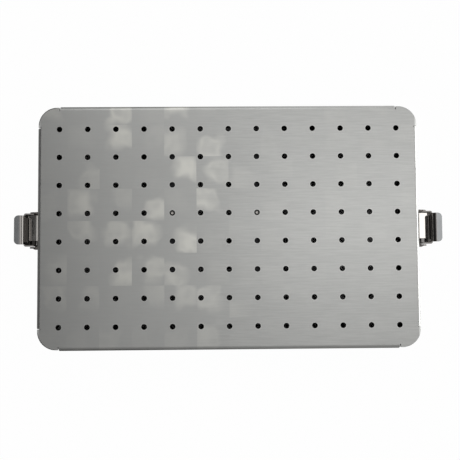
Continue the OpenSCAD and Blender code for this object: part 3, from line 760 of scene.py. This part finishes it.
class CASSETTE_OT_rails(bpy.types.Operator):
    """Finishes the two notched rails and makes their rivets"""
    bl_idname = "cassette.rails"
    bl_label = "Instrument rails"

    def execute(self, context):
        steel = rolled_steel("channel_steel", finish().steel_colour, (0.24, 0.34), 0.08)
        rubber = moulded_silicone("comb_silicone", finish().insert_colour)
        metal = rolled_steel("rivet_metal", finish().tray_colour, (0.3, 0.4))
        for side, _ in SIDES:
            channel = eased("channel_" + side, "rail_channel_" + side, finish().sheet_edge)
            finish_with(channel, steel)
            comb = eased("comb_" + side, "rail_comb_" + side, finish().comb_edge, 3)
            finish_with(comb, rubber)
        node = "rail_rivets"
        low, high = ends(node)
        corners = rivet_corners(HOLE_RADIUS - HOLE_CLEARANCE, low[2], high[2])
        rivets = turned("channel_rivets", node, corners, UP, spots(node, RIVET_HEAD, UP))
        finish_with(rivets, metal)
        return {"FINISHED"}


class CASSETTE_OT_hold_down(bpy.types.Operator):
    """Finishes the hold-down under the lid and makes the two rivets that show in the lid's holes"""
    bl_idname = "cassette.hold_down"
    bl_label = "Hold-down"

    def execute(self, context):
        steel = rolled_steel("hold_down_steel", finish().steel_colour, (0.24, 0.34), 0.08)
        rubber = moulded_silicone("strip_silicone", finish().insert_colour)
        metal = rivet_end_steel("lid_rivet_steel", finish().keeper_colour)
        sheet = eased("hold_down_sheet", "hold_down_frame", finish().sheet_edge)
        finish_with(sheet, steel)
        for side, _ in SIDES:
            strip = eased("strip_" + side, "hold_down_strip_" + side, finish().strip_edge)
            finish_with(strip, rubber)
        node = "hold_down_rivets"
        low, high = ends(node)
        corners = lid_rivet_corners(low[2], high[2])
        rivets = turned("lid_rivets", node, corners, UP, spots(node, RIVET_HEAD, UP))
        finish_with(rivets, metal)
        return {"FINISHED"}


class CASSETTE_OT_latches(bpy.types.Operator):
    """Finishes both latches: levers, brackets and keepers"""
    bl_idname = "cassette.latches"
    bl_label = "Latches"

    def execute(self, context):
        # The levers behind their tabs and the brackets are coloured with painted shade
        lever_steel = satin_lever("lever_steel", finish().lever_colour, finish().polish_and_shade_colour)
        steel = rolled_steel("bracket_steel", finish().polish_and_shade_colour, (0.2, 0.3))
        mirror = polished_keeper("keeper_mirror", finish().keeper_colour)
        edge = finish().latch_edge
        for side, _ in SIDES:
            finish_with(eased("lever_" + side, "latch_lever_" + side, edge), lever_steel)
            finish_with(eased("bracket_" + side, "latch_bracket_" + side, edge), steel)
            finish_with(eased("keeper_" + side, "lid_keeper_" + side, edge), mirror)
        return {"FINISHED"}


class CASSETTE_OT_latch_fasteners(bpy.types.Operator):
    """Makes the pivot pins and the rivets of the brackets and keepers"""
    bl_idname = "cassette.latch_fasteners"
    bl_label = "Latch pins and rivets"

    def execute(self, context):
        metal = rolled_steel("latch_rivet_steel", finish().fastener_colour, (0.2, 0.3))
        for side, sign in SIDES:
            node = "pivot_pin_" + side
            low, high = ends(node)
            corners = pin_corners((high[0] - low[0]) / 2, low[1], high[1])
            place = middle(node) * (1.0, 0.0, 1.0)
            finish_with(turned("pin_" + side, node, corners, TO_REAR, [place]), metal)
            outwards = (sign, 0.0, 0.0)
            node = "bracket_rivets_" + side
            near, far = sorted(abs(corner[0]) for corner in ends(node))
            rivets = turned("plate_rivets_" + side, node, rivet_corners(RIVET_SHANK, near, far),
                            outwards, spots(node, RIVET_HEAD, outwards))
            finish_with(rivets, metal)
            node = "keeper_rivets_" + side
            near, far = sorted(abs(corner[0]) for corner in ends(node))
            rivets = turned("ledge_rivets_" + side, node, keeper_rivet_corners(near, far),
                            outwards, spots(node, KEEPER_RIVET_HEAD, outwards))
            finish_with(rivets, metal)
        return {"FINISHED"}


# Stage


def lamp(name, place, size, power):
    """A soft rectangular lamp at a place, turned to the scene's middle."""
    data = bpy.data.lights.new(name, "AREA")
    data.shape = "RECTANGLE"
    data.size, data.size_y = size
    data.energy = power
    made = bpy.data.objects.new(name, data)
    made.location = place
    made.rotation_euler = (-Vector(place)).to_track_quat("-Z", "Y").to_euler()
    bpy.context.scene.collection.objects.link(made)


def studio_world():
    """White to the camera; to the metal, a soft room: dark on the left, dim in front, white on the right.

    A dark card on each side darkens the room. A faint glow on the left and a bright strip low on
    the right are added to it.
    """
    world = bpy.data.worlds.new("studio")
    bpy.context.scene.world = world
    world.use_nodes = True
    tree = world.node_tree
    tree.nodes.clear()
    generated = add(tree, "ShaderNodeTexCoord").outputs["Generated"]
    x, y = add(tree, "ShaderNodeSeparateXYZ", {0: generated}).outputs[:2]
    room = times(tree, *(levels(tree, x, *part) for part in (ROOM_TO_RIGHT, LEFT_CARD, RIGHT_CARD)))
    room = plus(tree, room, *(levels(tree, x, *part) for part in (LEFT_GLOW, RIGHT_STRIP)))
    room = times(tree, room, levels(tree, y, *ROOM_TO_REAR))
    path = add(tree, "ShaderNodeLightPath").outputs
    strength = blended(tree, path["Is Camera Ray"], room, 1.0)
    back = add(tree, "ShaderNodeBackground", {"Color": grey(1.0), "Strength": strength})
    add(tree, "ShaderNodeOutputWorld", {"Surface": back.outputs[0]})


def floor_material():
    """Pale floor that glows near white to the camera, round the tray but not under it.

    In the metal it glows on the right, from the middle to the rear, and it's mirrored dark elsewhere.
    """
    material = bpy.data.materials.new("pale_floor")
    material.use_nodes = True
    tree = material.node_tree
    tree.nodes.clear()
    speckle = noise(tree, (1.0, 1.0, 1.0), 400.0)
    pale = mixed(tree, swing(tree, speckle, 0.0, 1.0), grey(0.86), grey(0.9))
    path = add(tree, "ShaderNodeLightPath").outputs
    place = place_in(tree)
    bright = times(tree, levels(tree, place[0], -0.1, 0.1, 0.1, 1.0),
                   levels(tree, place[1], -0.16, 0.0, 0.2, 1.0))
    mirrored = times(tree, path["Is Glossy Ray"], bright)
    hidden = math_of(tree, "SUBTRACT", path["Is Glossy Ray"], mirrored, clamp=True)
    seen = math_of(tree, "ADD", path["Is Camera Ray"], mirrored, clamp=True)
    seen = math_of(tree, "ADD", seen, path["Is Transmission Ray"], clamp=True)
    beside = [levels(tree, off_middle(tree, axis), TRAY_HIGH[axis] - GLOW_START, TRAY_HIGH[axis] - GLOW_FULL)
              for axis in (0, 1)]
    share = times(tree, seen, math_of(tree, "MAXIMUM", *beside), FLOOR_GLOW)
    diffuse = add(tree, "ShaderNodeBsdfDiffuse", {"Color": mixed(tree, hidden, pale, grey(0.03))})
    glow = add(tree, "ShaderNodeEmission", {"Color": grey(1.0), "Strength": 1.0})
    both = add(tree, "ShaderNodeMixShader", {0: share, 1: diffuse.outputs[0], 2: glow.outputs[0]})
    add(tree, "ShaderNodeOutputMaterial", {"Surface": both.outputs[0]})
    return material


class CASSETTE_OT_stage(bpy.types.Operator):
    """Makes the floor, the lights and the camera"""
    bl_idname = "cassette.stage"
    bl_label = "Stage"

    def execute(self, context):
        stage = context.scene.cassette_stage
        half = stage.floor_size / 2
        floor_mesh = bpy.data.meshes.new("floor")
        floor_mesh.from_pydata(
            [(-half, -half, 0.0), (half, -half, 0.0), (half, half, 0.0), (-half, half, 0.0)],
            [], [(0, 1, 2, 3)])
        floor_mesh.materials.append(floor_material())
        floor = bpy.data.objects.new("floor", floor_mesh)
        context.scene.collection.objects.link(floor)
        studio_world()
        lamp("right_softbox", *RIGHT_SOFTBOX, stage.right_power)
        lamp("rear_softbox", *REAR_SOFTBOX, stage.rear_power)
        camera_data = bpy.data.cameras.new("camera")
        camera_data.lens = stage.lens
        camera_data.clip_start = 0.01
        camera = bpy.data.objects.new("camera", camera_data)
        tilt = Vector(stage.camera_tilt)
        turn = Matrix.Rotation(tilt.length, 4, tilt.normalized())
        camera.matrix_world = Matrix.Translation(stage.camera_place) @ turn
        context.scene.collection.objects.link(camera)
        context.scene.camera = camera
        context.scene.view_settings.view_transform = "Standard"
        return {"FINISHED"}


STEPS = (CASSETTE_OT_lid, CASSETTE_OT_tray, CASSETTE_OT_feet, CASSETTE_OT_rails, CASSETTE_OT_hold_down,
         CASSETTE_OT_latches, CASSETTE_OT_latch_fasteners, CASSETTE_OT_stage)


class CASSETTE_PT_sidebar(bpy.types.Panel):
    """Lists the cassette's values and steps"""
    bl_idname = "CASSETTE_PT_sidebar"
    bl_label = "Cassette"
    bl_space_type = "VIEW_3D"
    bl_region_type = "UI"
    bl_category = "Cassette"

    def draw(self, context):
        for group in (context.scene.cassette_finish, context.scene.cassette_stage):
            column = self.layout.column()
            for name in group.__annotations__:
                column.prop(group, name)
        for step in STEPS:
            self.layout.operator(step.bl_idname)


CLASSES = (CassetteFinish, CassetteStage, *STEPS, CASSETTE_PT_sidebar)


def register():
    for made in CLASSES:
        bpy.utils.register_class(made)
    bpy.types.Scene.cassette_finish = bpy.props.PointerProperty(type=CassetteFinish)
    bpy.types.Scene.cassette_stage = bpy.props.PointerProperty(type=CassetteStage)


def unregister():
    del bpy.types.Scene.cassette_stage
    del bpy.types.Scene.cassette_finish
    for made in reversed(CLASSES):
        bpy.utils.unregister_class(made)


def main():
    register()
    for step in STEPS:
        group, name = step.bl_idname.split(".")
        getattr(getattr(bpy.ops, group), name)()


if __name__ == "__main__":
    main()
